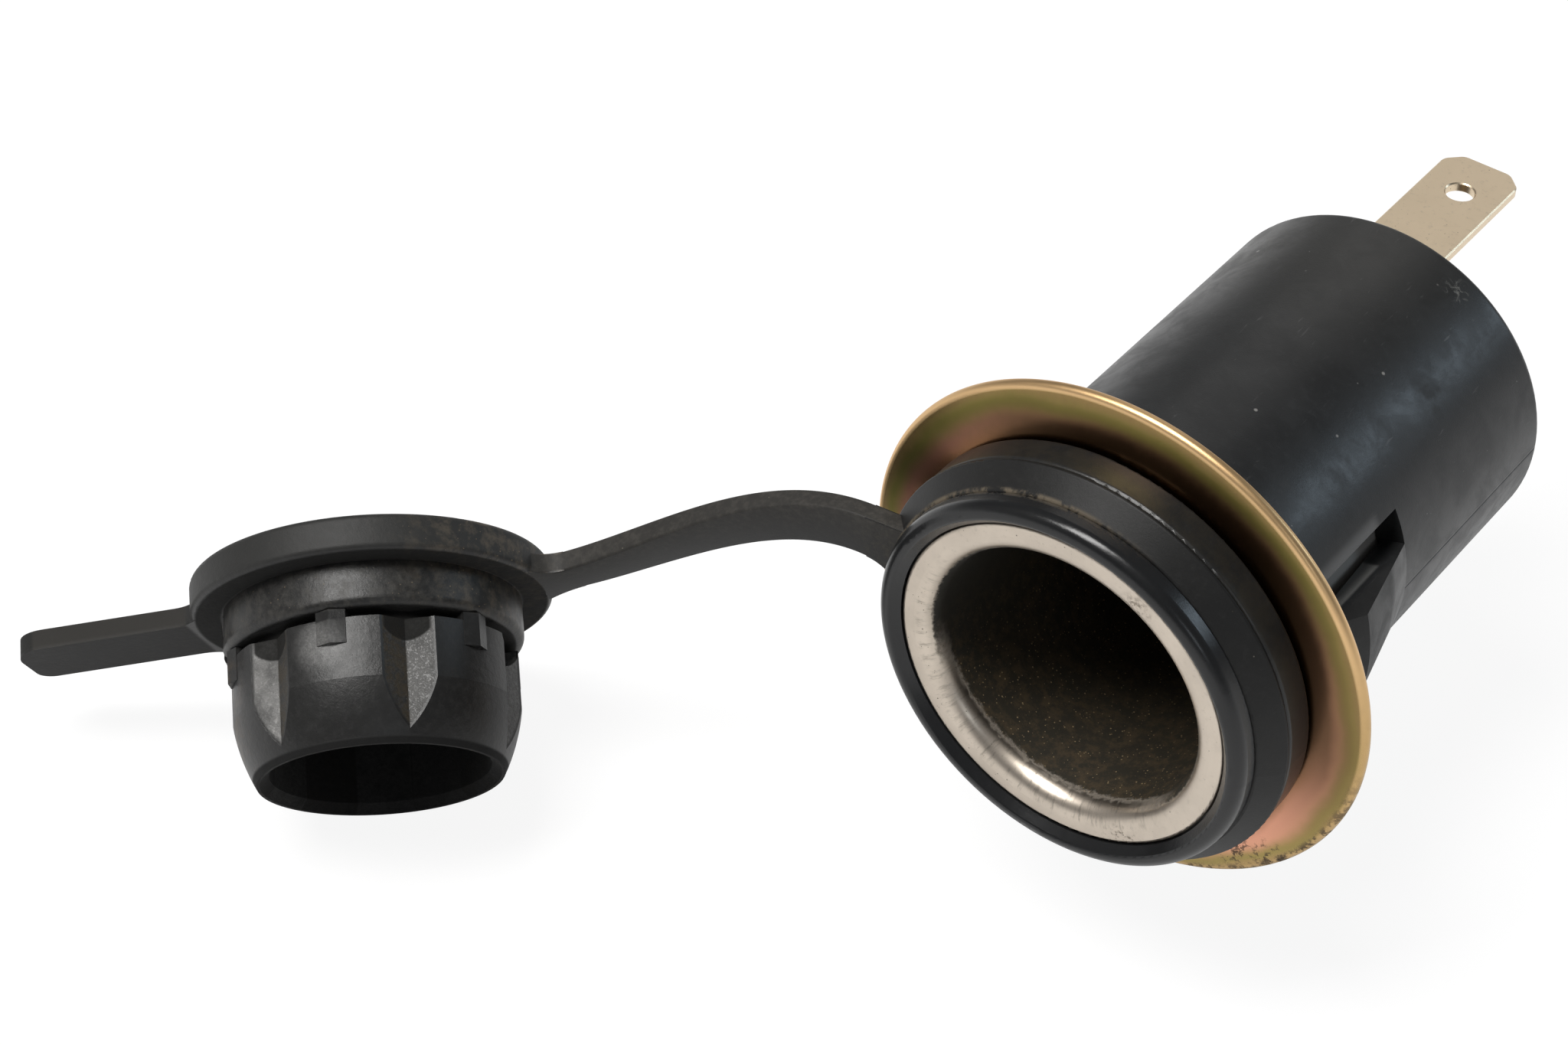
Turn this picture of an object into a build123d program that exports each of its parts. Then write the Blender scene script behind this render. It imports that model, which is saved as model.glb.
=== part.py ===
"""Panel-mounted 12 V power socket with a tethered rubber cap.

+Y runs along the socket's axis into the panel, -Y faces the user and +Z is up.
The origin lies on that axis in the panel's front face, where the washer's rim bears.
All lengths are in millimetres and all angles in degrees.
"""

import os
from math import cos, radians, sin

from build123d import *

# Socket shell: a drawn cup with a rolled lip, stepped down at its base
bore_r = 10.5
shell_wall = 0.8
lip_width = 2.5
lip_curl_r = 1.5
lip_round = 0.25
bore_depth = 33.0
pocket_r = 9.0
pocket_depth = 3.4
floor_hole_r = 4.5

# Connector blades: the ground one is one piece with the shell
blade_width = 6.3
blade_thick = 0.8
blade_clip = 1.2
blade_corner_round = 0.9
blade_bevel = 0.1
blade_hole_r = 1.1
blade_hole_inset = 4.3
ground_blade_proud = 14.0
ground_blade_root = 3.0
positive_blade_proud = 10.0
positive_blade_drop = 6.0

# Housing: a moulded sleeve with a front bezel, a flange and two snap fingers
shell_clear = 0.2
housing_wall = 2.2
tail_shroud = 5.2
tail_round = 0.6
lip_clear = 0.1
lip_stand = 1.1
bezel_proud = 0.65
bezel_slope = 0.6
bezel_width = 1.7
bezel_round = 0.9
bezel_edge_round = 0.3
neck_step = 0.3
flange_inset = 0.4
flange_thick = 2.6
flange_round = 0.3
key_clear = 0.2

# Snap fingers: hinged at the rear, spread towards the front, with a sloped tip
finger_half_angle = 17.6
finger_slot_angle = 12.0
finger_tip_gap = 4.9
finger_ramp = 2.2
finger_length = 10.5
finger_spread = 1.9
finger_tip_spread = 0.2
finger_thick = 1.8
finger_tip_thick = 1.3
window_gap = 1.0

# Mounting washer: a dished ring between the flange and the panel
washer_r = 20.0
washer_thick = 0.9
washer_dish = 0.85
washer_clear = 0.4
washer_round = 0.35

# Rubber ring in the groove between bezel and flange
ring_depth = 1.95
ring_clear = 0.05
ring_step = 0.1
ring_flare = 1.7
ring_round = 0.25

# Rubber strap from the ring to the cap
strap_width = 3.75
strap_thick = 1.5
strap_angle = 12.2
strap_ring_inset = 0.01
strap_cap_inset = 0.05
strap_embed = 0.6
strap_ring_flare = 0.6
strap_cap_flare = 1.4
strap_ring_reach = 10.95
strap_cap_reach = 9.1
flex_gap = 0.7
flex_shares = (0.11, 0.50, 0.90)
strap_stations = 5
stub_stations = 2

# Rubber cap, as it hangs open: its place, the way its plug faces and the way its strap leaves
cap_aside = 52.41
cap_ahead = 20.23
cap_drop = 11.08
cap_facing = Vector(0.6217, -0.6416, -0.450)
cap_strap_way = Vector(0.7731, 0.595, 0.2202)
cap_r = 13.4
disc_thick = 2.75
disc_round = 0.5
collar_step = 0.6
collar_length = 3.35
collar_round = 0.7
groove_depth = 1.15
groove_length = 0.6
lobe_squeeze = 0.05
lobe_count = 6
barrel_length = 4.5
lead_length = 4.6
lead_bulge = 0.2
mouth_r = 9.05
notch_floor_r = 9.5
notch_half_width = 2.45
pocket_arch_r = 2.3
pocket_arch_floor_r = 8.6
hollow_r = 8.1
hollow_floor = 3.8
mouth_bevel = 0.7
nub_width = 2.2
nub_length = 2.5
nub_proud = 0.45
pull_reach = 27.3
pull_width = 6.4
pull_thick = 1.5
pull_near_round = 2.6
pull_far_round = 1.2
pull_root_round = 2.5

# Contact stack at the cup's floor
insulator_thick = 1.6
insulator_clear = 0.15
backing_r = 8.5
backing_thick = 1.5
rivet_r = 1.6
rivet_clear = 0.1
contact_head_r = 4.2
contact_head_height = 1.5
contact_round = 0.6
rivet_tail_r = 2.8
rivet_tail_height = 0.9
foot_top = 3.6
blade_bend_r = 0.9

# Radii that follow from the sizes above
shell_r = bore_r + shell_wall
lip_r = bore_r + lip_width
sleeve_r = shell_r + shell_clear
housing_r = sleeve_r + housing_wall
recess_r = lip_r + lip_clear
bezel_r = recess_r + bezel_width
neck_r = housing_r - neck_step
ring_inner_r = neck_r + ring_clear
ring_front_r = bezel_r + ring_step
ring_rear_r = ring_front_r + ring_flare
flange_r = ring_rear_r - flange_inset
collar_r = bore_r + collar_step
lobe_r = bore_r + lobe_squeeze
groove_r = lobe_r - groove_depth

# Stations along the axis, from the panel's front face forwards and then backwards
y_flange_rear = -(washer_thick + washer_dish)
y_flange_front = y_flange_rear - flange_thick
y_ring_rear = y_flange_front - ring_clear
y_ring_front = y_ring_rear - ring_depth
y_bezel_rear = y_ring_front - ring_clear
y_lip = y_bezel_rear - lip_stand
y_bezel = y_lip - bezel_proud
y_seat = y_lip + shell_wall
y_shoulder = y_lip + bore_depth
y_floor = y_shoulder + pocket_depth
y_floor_rear = y_floor + shell_wall
y_foot = y_floor_rear + backing_thick
y_foot_rear = y_foot + blade_thick
y_tail = y_floor_rear + tail_shroud
y_blade_root = y_shoulder - ground_blade_root
y_ground_end = y_tail + ground_blade_proud
y_positive_end = y_tail + positive_blade_proud
y_finger_tip = finger_tip_gap
y_finger_peak = y_finger_tip + finger_ramp
y_finger_root = y_finger_tip + finger_length
y_window = y_finger_tip - window_gap

# Stations along the cap's own axis, from the outer face of its disc
s_collar_end = disc_thick + collar_length
s_lobe = s_collar_end + groove_length
s_barrel_end = s_lobe + barrel_length
s_mouth = s_barrel_end + lead_length

# The cap's frame: z towards the plug's mouth, x towards the strap
cap_plane = Plane(origin=(-cap_aside, -cap_ahead, -cap_drop), x_dir=cap_strap_way, z_dir=cap_facing)
cap_axis = Axis(cap_plane.origin, cap_plane.z_dir)
cap_section = Plane(origin=cap_plane.origin, x_dir=cap_plane.x_dir, z_dir=-cap_plane.y_dir)

# The strap's route: out of the ring along a radius, and into the cap along its disc
ring_way = Vector(-cos(radians(strap_angle)), 0, sin(radians(strap_angle)))
ring_width_way = Vector(sin(radians(strap_angle)), 0, cos(radians(strap_angle)))
y_strap = y_ring_front + strap_ring_inset + strap_thick / 2
s_strap = disc_thick - strap_cap_inset - strap_thick / 2
strap_start = ring_way * (ring_front_r - strap_embed) + Vector(0, y_strap, 0)
strap_end = (
    cap_plane.origin
    + cap_plane.z_dir * s_strap
    + cap_plane.x_dir * (cap_r - strap_embed)
)
strap_route = Bezier(
    strap_start,
    strap_start + ring_way * strap_ring_reach,
    strap_end + cap_plane.x_dir * strap_cap_reach,
    strap_end,
)
half_gap_share = flex_gap / 2 / strap_route.length


def corner(r, y):
    """The vertex of the sketch in hand that lies nearest to a radius and a station."""
    return vertices().sort_by_distance((r, y))[0]


def connector_blade(plane, y_root, y_end):
    """A flat blade along +Y above a plane: clipped and rounded end, a locking hole, bevelled edges."""
    with BuildPart() as blade:
        with BuildSketch(plane):
            with Locations((0, (y_root + y_end) / 2)):
                Rectangle(blade_width, y_end - y_root)
            chamfer(vertices().group_by(Axis.Y)[-1], blade_clip)
            fillet(vertices().group_by(Axis.Y)[-1] + vertices().group_by(Axis.Y)[-2], blade_corner_round)
            with Locations((0, y_end - blade_hole_inset)):
                Circle(blade_hole_r, mode=Mode.SUBTRACT)
        extrude(amount=blade_thick)
        chamfer(faces().filter_by(Axis.Z).edges(), blade_bevel)
    return blade.part


def strap_plane(share):
    """Plane across the strap at a share of its length, with x along its width."""
    run = strap_route.tangent_at(share)
    width = ring_width_way * (1 - share) + cap_plane.y_dir * share
    width = width - run * width.dot(run)
    return Plane(origin=strap_route.position_at(share), x_dir=width, z_dir=run)


def strap_sections(start, end, stations, start_flare=0.0, end_flare=0.0):
    """Planes and widths across the strap between two shares, widened at an end by its flare."""
    sections = []
    for i in range(stations + 1):
        part_way = i / stations
        flare = start_flare * (1 - part_way) ** 2 + end_flare * part_way**2
        share = start + (end - start) * part_way
        sections.append((strap_plane(share), strap_width + 2 * flare))
    return sections


# Blades: the ground one lies along the shell's top, the positive one below the axis
ground_blade = connector_blade(Plane.XY.offset(shell_r - blade_thick), y_blade_root, y_ground_end)
foot_base = -positive_blade_drop - blade_thick
positive_blade = connector_blade(Plane.XY.offset(foot_base), y_foot, y_positive_end)

# Shell: revolved cup, then the ground blade along its top
with BuildPart() as socket_shell:
    curl_centre = (bore_r + lip_curl_r, y_lip + lip_curl_r)
    with BuildSketch(Plane.XY):
        with BuildLine():
            CenterArc(curl_centre, lip_curl_r, 180, 90)
            Polyline(
                (curl_centre[0], y_lip),
                (lip_r, y_lip),
                (lip_r, y_seat),
                (curl_centre[0], y_seat),
            )
            CenterArc(curl_centre, lip_curl_r - shell_wall, 180, 90)
            Polyline(
                (shell_r, curl_centre[1]),
                (shell_r, y_shoulder + shell_wall),
                (pocket_r + shell_wall, y_shoulder + shell_wall),
                (pocket_r + shell_wall, y_floor_rear),
                (floor_hole_r, y_floor_rear),
                (floor_hole_r, y_floor),
                (pocket_r, y_floor),
                (pocket_r, y_shoulder),
                (bore_r, y_shoulder),
                (bore_r, curl_centre[1]),
            )
        make_face()
        fillet(corner(lip_r, y_lip), lip_round)
    revolve(axis=Axis.Y)
    add(ground_blade)

# Housing: revolved sleeve, then the key slot for the blade and the snap fingers
with BuildPart() as housing:
    curl_inside_r = lip_curl_r - shell_wall
    with BuildSketch(Plane.XY):
        with BuildLine():
            Polyline(
                (sleeve_r + curl_inside_r, y_seat),
                (recess_r, y_seat),
                (recess_r, y_lip),
                (recess_r + bezel_slope, y_bezel),
                (bezel_r, y_bezel),
                (bezel_r, y_bezel_rear),
                (neck_r, y_bezel_rear),
                (neck_r, y_flange_front),
                (flange_r, y_flange_front),
                (flange_r, y_flange_rear),
                (housing_r, y_flange_rear),
                (housing_r, y_tail),
                (sleeve_r, y_tail),
                (sleeve_r, y_seat + curl_inside_r),
                close=True,
            )
        make_face()
        fillet(corner(bezel_r, y_bezel), bezel_round)
        fillet(corner(recess_r + bezel_slope, y_bezel), bezel_edge_round)
        fillet([corner(flange_r, y_flange_front), corner(flange_r, y_flange_rear)], flange_round)
        fillet(corner(housing_r, y_tail), tail_round)
    revolve(axis=Axis.Y)
    y_key = y_blade_root - key_clear
    with BuildSketch(Plane.XY):
        with Locations((0, (y_key + y_tail) / 2)):
            Rectangle(blade_width + 2 * key_clear, y_tail - y_key)
    extrude(amount=shell_r + key_clear, mode=Mode.SUBTRACT)
    window_half_angle = finger_half_angle + finger_slot_angle
    for side in (0, 180):
        with BuildSketch(Plane.XY.rotated((0, side - window_half_angle, 0))):
            with Locations(((sleeve_r + housing_r) / 2, (y_window + y_finger_root) / 2)):
                Rectangle(2 * housing_wall, y_finger_root - y_window)
        revolve(axis=Axis.Y, revolution_arc=2 * window_half_angle, mode=Mode.SUBTRACT)
        with BuildSketch(Plane.XY.rotated((0, side - finger_half_angle, 0))):
            with BuildLine():
                Polyline(
                    (housing_r, y_finger_root),
                    (housing_r + finger_spread, y_finger_peak),
                    (housing_r + finger_tip_spread, y_finger_tip),
                    (housing_r + finger_tip_spread - finger_tip_thick, y_finger_tip),
                    (housing_r - finger_thick, y_finger_root),
                    close=True,
                )
            make_face()
        revolve(axis=Axis.Y, revolution_arc=2 * finger_half_angle)

# Washer: dished ring whose inner edge bears on the flange and whose rim bears on the panel
with BuildPart() as mounting_washer:
    washer_inner_r = housing_r + washer_clear
    with BuildSketch(Plane.XY):
        with BuildLine():
            Polyline(
                (washer_inner_r, y_flange_rear),
                (washer_r, -washer_thick),
                (washer_r, 0),
                (washer_inner_r, y_flange_rear + washer_thick),
                close=True,
            )
        make_face()
        fillet([corner(washer_r, -washer_thick), corner(washer_r, 0)], washer_round)
    revolve(axis=Axis.Y)

# Rubber ring with the root of the strap
with BuildPart() as strap_ring:
    with BuildSketch(Plane.XY):
        with BuildLine():
            Polyline(
                (ring_inner_r, y_ring_front),
                (ring_front_r, y_ring_front),
                (ring_rear_r, y_ring_rear),
                (ring_inner_r, y_ring_rear),
                close=True,
            )
        make_face()
        fillet([corner(ring_front_r, y_ring_front), corner(ring_rear_r, y_ring_rear)], ring_round)
    revolve(axis=Axis.Y)
    stub_end = flex_shares[0] - half_gap_share
    for plane, width in strap_sections(0, stub_end, stub_stations, start_flare=strap_ring_flare):
        with BuildSketch(plane):
            Rectangle(width, strap_thick)
    loft()

# The strap's two lengths, parted where it bends most
with BuildPart() as strap_inner:
    inner_ends = (flex_shares[0] + half_gap_share, flex_shares[1] - half_gap_share)
    for plane, width in strap_sections(*inner_ends, strap_stations):
        with BuildSketch(plane):
            Rectangle(width, strap_thick)
    loft()

with BuildPart() as strap_outer:
    outer_ends = (flex_shares[1] + half_gap_share, flex_shares[2] - half_gap_share)
    for plane, width in strap_sections(*outer_ends, strap_stations):
        with BuildSketch(plane):
            Rectangle(width, strap_thick)
    loft()

# Cap: disc, collar and lobed hollow plug in one turn, then notches, nubs, pull tab and strap root
with BuildPart() as cap:
    lead_chord = Vector(mouth_r - lobe_r, lead_length)
    lead_out = Vector(lead_length, lobe_r - mouth_r).normalized()
    lead_middle = Vector(lobe_r, s_barrel_end) + lead_chord / 2 + lead_out * lead_bulge
    with BuildSketch(cap_section):
        with BuildLine():
            Polyline(
                (lobe_r, s_barrel_end),
                (lobe_r, s_lobe),
                (groove_r, s_lobe),
                (groove_r, s_collar_end),
                (collar_r, s_collar_end),
                (collar_r, disc_thick),
                (cap_r, disc_thick),
                (cap_r, 0),
                (0, 0),
                (0, hollow_floor),
                (hollow_r, hollow_floor),
                (hollow_r, s_mouth - mouth_bevel),
                (hollow_r + mouth_bevel, s_mouth),
                (mouth_r, s_mouth),
            )
            ThreePointArc((lobe_r, s_barrel_end), lead_middle, (mouth_r, s_mouth))
        make_face()
        fillet([corner(cap_r, 0), corner(cap_r, disc_thick)], disc_round)
        fillet(corner(collar_r, s_collar_end), collar_round)
    revolve(axis=cap_axis)
    with BuildSketch(cap_plane.offset(s_collar_end)):
        notch_edge_r = 2 * lobe_r - notch_floor_r
        with PolarLocations(0, lobe_count):
            Polygon(
                (notch_floor_r, 0),
                (notch_edge_r, 2 * notch_half_width),
                (notch_edge_r, -2 * notch_half_width),
                align=None,
            )
    extrude(amount=s_mouth - s_collar_end, mode=Mode.SUBTRACT)
    arch_planes = []
    for i in range(lobe_count):
        turned = cap_plane.rotated((0, 0, i * 360 / lobe_count))
        arch_centre = turned.origin + turned.x_dir * pocket_arch_floor_r + turned.z_dir * s_collar_end
        arch_planes.append(Plane(origin=arch_centre, x_dir=turned.y_dir, z_dir=turned.x_dir))
    with BuildSketch(*arch_planes):
        Circle(pocket_arch_r)
        with Locations((0, -pocket_arch_r)):
            Rectangle(2 * pocket_arch_r, 2 * pocket_arch_r, mode=Mode.SUBTRACT)
    extrude(amount=lobe_r - pocket_arch_floor_r, mode=Mode.SUBTRACT)
    with BuildSketch(cap_plane.offset(s_collar_end)):
        with PolarLocations(0, lobe_count, start_angle=180 / lobe_count):
            Polygon(
                (pocket_arch_floor_r, -nub_width / 2),
                (lobe_r, -nub_width / 2),
                (lobe_r + nub_proud, 0),
                (lobe_r, nub_width / 2),
                (pocket_arch_floor_r, nub_width / 2),
                align=None,
            )
    extrude(amount=nub_length)
    with BuildSketch(cap_plane.offset(disc_thick - pull_thick)):
        Circle(cap_r - disc_round)
        with Locations((-pull_reach / 2, 0)):
            Rectangle(pull_reach, pull_width)
        fillet(vertices().group_by(Axis.X)[1], pull_root_round)
        fillet(vertices().group_by(Axis.X)[0].sort_by(Axis.Y)[-1], pull_near_round)
        fillet(vertices().sort_by_distance((-pull_reach, -pull_width / 2))[0], pull_far_round)
    extrude(amount=pull_thick)
    stub_start = flex_shares[2] + half_gap_share
    for plane, width in strap_sections(stub_start, 1, stub_stations, end_flare=strap_cap_flare):
        with BuildSketch(plane):
            Rectangle(width, strap_thick)
    loft()

# Insulators either side of the cup's floor
with BuildPart() as front_insulator:
    with BuildSketch(Plane.XY):
        with BuildLine():
            Polyline(
                (rivet_r + rivet_clear, y_floor - insulator_thick),
                (pocket_r - insulator_clear, y_floor - insulator_thick),
                (pocket_r - insulator_clear, y_floor),
                (floor_hole_r - insulator_clear, y_floor),
                (floor_hole_r - insulator_clear, y_floor_rear),
                (rivet_r + rivet_clear, y_floor_rear),
                close=True,
            )
        make_face()
    revolve(axis=Axis.Y)

with BuildPart() as rear_insulator:
    with BuildSketch(Plane.XZ.offset(-y_floor_rear)):
        Circle(backing_r)
        Circle(rivet_r + rivet_clear, mode=Mode.SUBTRACT)
    extrude(amount=-backing_thick)

# Centre contact: a rivet with a wide button head that clamps the stack
with BuildPart() as centre_contact:
    y_head = y_floor - insulator_thick
    y_button = y_head - contact_head_height
    with BuildSketch(Plane.XY):
        with BuildLine():
            Polyline(
                (0, y_button),
                (contact_head_r, y_button),
                (contact_head_r, y_head),
                (rivet_r, y_head),
                (rivet_r, y_foot_rear),
                (rivet_tail_r, y_foot_rear),
                (rivet_r, y_foot_rear + rivet_tail_height),
                (0, y_foot_rear + rivet_tail_height),
                close=True,
            )
        make_face()
        fillet(corner(contact_head_r, y_button), contact_round)
    revolve(axis=Axis.Y)

# Positive terminal: a foot under the rivet's tail, bent back into a blade
with BuildPart() as positive_terminal:
    with BuildSketch(Plane.XZ.offset(-y_foot)):
        with Locations((0, (foot_top + foot_base) / 2)):
            Rectangle(blade_width, foot_top - foot_base)
        fillet(vertices().group_by(Axis.Y)[-1], foot_top / 2)
        Circle(rivet_r + rivet_clear, mode=Mode.SUBTRACT)
    extrude(amount=-blade_thick)
    add(positive_blade)
    bend_edge = edges().filter_by(Axis.X).sort_by_distance((0, y_foot, foot_base))[0]
    fillet(bend_edge, blade_bend_r)

os.makedirs("parts", exist_ok=True)
pieces = {
    "socket_shell": socket_shell,
    "housing": housing,
    "mounting_washer": mounting_washer,
    "strap_ring": strap_ring,
    "strap_inner": strap_inner,
    "strap_outer": strap_outer,
    "cap": cap,
    "front_insulator": front_insulator,
    "rear_insulator": rear_insulator,
    "centre_contact": centre_contact,
    "positive_terminal": positive_terminal,
}
for name, piece in pieces.items():
    piece.part.label = name
    export_step(piece.part, f"parts/{name}.step")
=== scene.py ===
import bpy
import numpy as np
from bpy.props import FloatProperty, FloatVectorProperty, IntProperty, PointerProperty
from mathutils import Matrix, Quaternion, Vector


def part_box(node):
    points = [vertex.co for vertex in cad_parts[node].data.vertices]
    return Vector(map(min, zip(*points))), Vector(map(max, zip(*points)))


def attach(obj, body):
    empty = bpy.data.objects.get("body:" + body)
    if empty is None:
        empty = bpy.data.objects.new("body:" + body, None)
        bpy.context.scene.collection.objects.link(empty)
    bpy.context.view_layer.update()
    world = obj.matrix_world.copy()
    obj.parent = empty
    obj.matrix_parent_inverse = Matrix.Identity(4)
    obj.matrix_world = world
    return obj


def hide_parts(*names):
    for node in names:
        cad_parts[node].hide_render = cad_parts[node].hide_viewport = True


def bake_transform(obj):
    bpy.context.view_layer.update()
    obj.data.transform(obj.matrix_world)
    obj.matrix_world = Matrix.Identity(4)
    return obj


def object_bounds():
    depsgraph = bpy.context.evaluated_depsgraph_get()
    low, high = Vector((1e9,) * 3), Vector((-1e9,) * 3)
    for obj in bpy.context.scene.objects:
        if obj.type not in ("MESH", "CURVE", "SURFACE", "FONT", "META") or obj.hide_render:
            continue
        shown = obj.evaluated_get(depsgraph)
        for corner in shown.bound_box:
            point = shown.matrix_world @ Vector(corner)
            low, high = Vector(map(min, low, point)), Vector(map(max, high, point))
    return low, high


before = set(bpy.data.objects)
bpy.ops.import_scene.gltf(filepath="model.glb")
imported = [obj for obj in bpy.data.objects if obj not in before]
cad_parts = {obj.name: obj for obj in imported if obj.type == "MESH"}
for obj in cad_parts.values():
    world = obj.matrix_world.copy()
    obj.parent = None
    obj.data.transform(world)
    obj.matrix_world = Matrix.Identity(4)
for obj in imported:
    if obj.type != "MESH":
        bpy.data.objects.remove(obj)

bl_info = {
    "name": "Power Socket Dresser",
    "version": (1, 0, 0),
    "blender": (4, 5, 0),
    "location": "View3D > Sidebar > Socket",
    "description": "Dresses a panel power socket and its tethered cap with surfaces, finishes and a stage",
    "category": "Object",
}

CAD_BOX = [list(corner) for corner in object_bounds()]
MM = 0.001

# The cap's frame as it hangs open: place of its outer face, way of its plug, way to its strap
CAP_PLACE = np.array([-52.41, -20.23, -11.08])
CAP_FACING = np.array([0.6217, -0.6416, -0.450])
CAP_FACING = CAP_FACING / np.linalg.norm(CAP_FACING)
CAP_STRAP_WAY = np.array([0.7731, 0.595, 0.2202])
CAP_STRAP_WAY = CAP_STRAP_WAY - (CAP_STRAP_WAY @ CAP_FACING) * CAP_FACING
CAP_STRAP_WAY = CAP_STRAP_WAY / np.linalg.norm(CAP_STRAP_WAY)
CAP_ACROSS = np.cross(CAP_FACING, CAP_STRAP_WAY)

# The cap's plug: number and radius of its lobes, start and length of their taper, in millimetres
CAP_LOBES = 6
LOBE_R = 10.55
TAPER_START = 11.2
TAPER_LENGTH = 4.6

# Radii at which arcs are measured round the sleeve and round the lip's inner edge, in millimetres
SLEEVE_R = 13.7
LIP_R = 11.0

# The strap as shares of its length: its bends, the ends of its three skins and the lengths of its flares
STRAP_BENDS = {"strap_root_bend": 0.11, "strap_middle_bend": 0.50, "cap_bend": 0.90}
SKIN_ENDS = (0.0, 0.30, 0.70, 1.0)
RING_FLARE_SHARE = 0.0991
CAP_FLARE_SHARE = 0.0891

# How finely the surfaces are divided
SKIN_STATIONS = 60
CURVE_STATIONS = 2001
FACE_POINTS = 14
ARC_POINTS = 9
WASHER_HOURS = 320
FLOOR_POINTS = 13

# Half the floor's side, the camera's place and the point that the lamps face, in metres
FLOOR_HALF = 3.0
CAMERA_PLACE = (0.078819, -0.142170, 0.155671)
LAMP_AIM = (-0.01, 0.0, 0.0)

# The camera's turn as a quaternion, and the width of its sensor in millimetres
CAMERA_TURN = (0.864724, 0.384142, 0.126192, 0.297932)
SENSOR_WIDTH = 36.0

# Name, place and sides in metres, power in watts and colour of each lamp
LAMPS = (
    ("lamp_key", (-0.145, -0.225, 0.59), (0.20, 0.38), 3.9, (1.0, 0.99, 0.97)),
    ("lamp_back", (-0.30, 0.72, 0.55), (0.50, 0.50), 0.50, (1.0, 0.98, 0.95)),
    ("lamp_edge", (-0.75, 0.55, 0.12), (0.70, 0.35), 0.08, (1.0, 0.99, 0.97)),
    ("lamp_left", (-0.52, -0.36, 0.34), (0.45, 0.45), 0.08, (1.0, 0.98, 0.95)),
    ("lamp_right", (0.50, 0.61, 0.37), (0.18, 0.24), 0.7, (0.70, 0.86, 1.0)),
    ("lamp_front", (0.54, -0.41, 0.34), (0.16, 0.16), 0.18, (0.86, 0.93, 1.0)),
)

# Marks and painted light on the housing, as linear colours
PAINTED_REAR_SHEEN = (0.034, 0.033, 0.030)
SCUFF_GREY = (0.15, 0.15, 0.14)
SCRATCH_GREY = (0.10, 0.10, 0.10)
PAINTED_SLOT_EDGE_LIGHT = (0.17, 0.17, 0.17)
PAINTED_SLOT_LIGHT = (0.15, 0.15, 0.145)
FINGER_BLACK = (0.0075, 0.0075, 0.0075)
SPECK_GREY = (0.26, 0.25, 0.24)
SETTLED_DUST = (0.040, 0.033, 0.022)
CREVICE_DUST = (0.19, 0.155, 0.11)
BEZEL_BLACK = (0.0075, 0.0077, 0.0085)
SEAM_BLACK = (0.005, 0.005, 0.005)

# Marks and painted light and shade on the shell, as linear colours
NICKEL_SCRATCH = (0.14, 0.122, 0.10)
PAINTED_CURL_SHADE = (0.16, 0.14, 0.11)
PAINTED_SHELL_LIGHT = (0.42, 0.41, 0.39)
PIT_BROWN = (0.06, 0.048, 0.036)
STAIN_BROWN = (0.085, 0.055, 0.028)
MOUTH_BLACK = (0.010, 0.009, 0.006)
RUST_FILM = (0.075, 0.050, 0.024)
BROWN_DUST = (0.034, 0.026, 0.014)
RUST_GRIT = (0.40, 0.29, 0.155)

# Marks on the washer, as linear colours
RUST_BROWN = (0.085, 0.045, 0.018)
RIM_RUST = (0.060, 0.040, 0.018)
PLATE_SCRATCH = (0.12, 0.13, 0.10)

# Marks and painted light and shade on the rubber, as linear colours
DISC_EDGE = (0.030, 0.030, 0.028)
TAB_EDGE = (0.045, 0.042, 0.038)
NOTCH_SCUFF = (0.070, 0.069, 0.066)
PAINTED_FLANK_LIGHT_NEAR = (0.165, 0.163, 0.158)
PAINTED_FLANK_LIGHT_FAR = (0.29, 0.286, 0.278)
PAINTED_LOBE_HIGHLIGHT = (0.18, 0.178, 0.174)
VALLEY_SHADE_AND_RUST = (0.050, 0.038, 0.022)
COLLAR_DUST = (0.070, 0.066, 0.058)
SAND_GRIT = (0.24, 0.185, 0.12)
STALE_BROWN = (0.080, 0.056, 0.034)
CAP_SPECK = (0.22, 0.20, 0.17)
PAINTED_POCKET_SHADE = (0.0045, 0.0042, 0.0035)
PAINTED_HOLLOW_SHADE = (0.0030, 0.0030, 0.0030)
STRAP_EDGE = (0.062, 0.057, 0.050)
ROOT_DUST = (0.095, 0.088, 0.076)
RING_SPECK = (0.20, 0.18, 0.15)

# Insulators and contacts, as linear colours
LAMINATE_DARK = (0.13, 0.055, 0.022)
LAMINATE_LIGHT = (0.20, 0.09, 0.04)
BRASS_BRIGHT = (0.52, 0.40, 0.20)
BRASS_DULL = (0.40, 0.29, 0.13)

# Floor and room, as linear colours
FLOOR_DARK = (0.58, 0.58, 0.58)
FLOOR_LIGHT = (0.62, 0.62, 0.62)
WHITE = (1.0, 1.0, 1.0)
ROOM_WHITE = (0.97, 0.98, 1.0)


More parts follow.
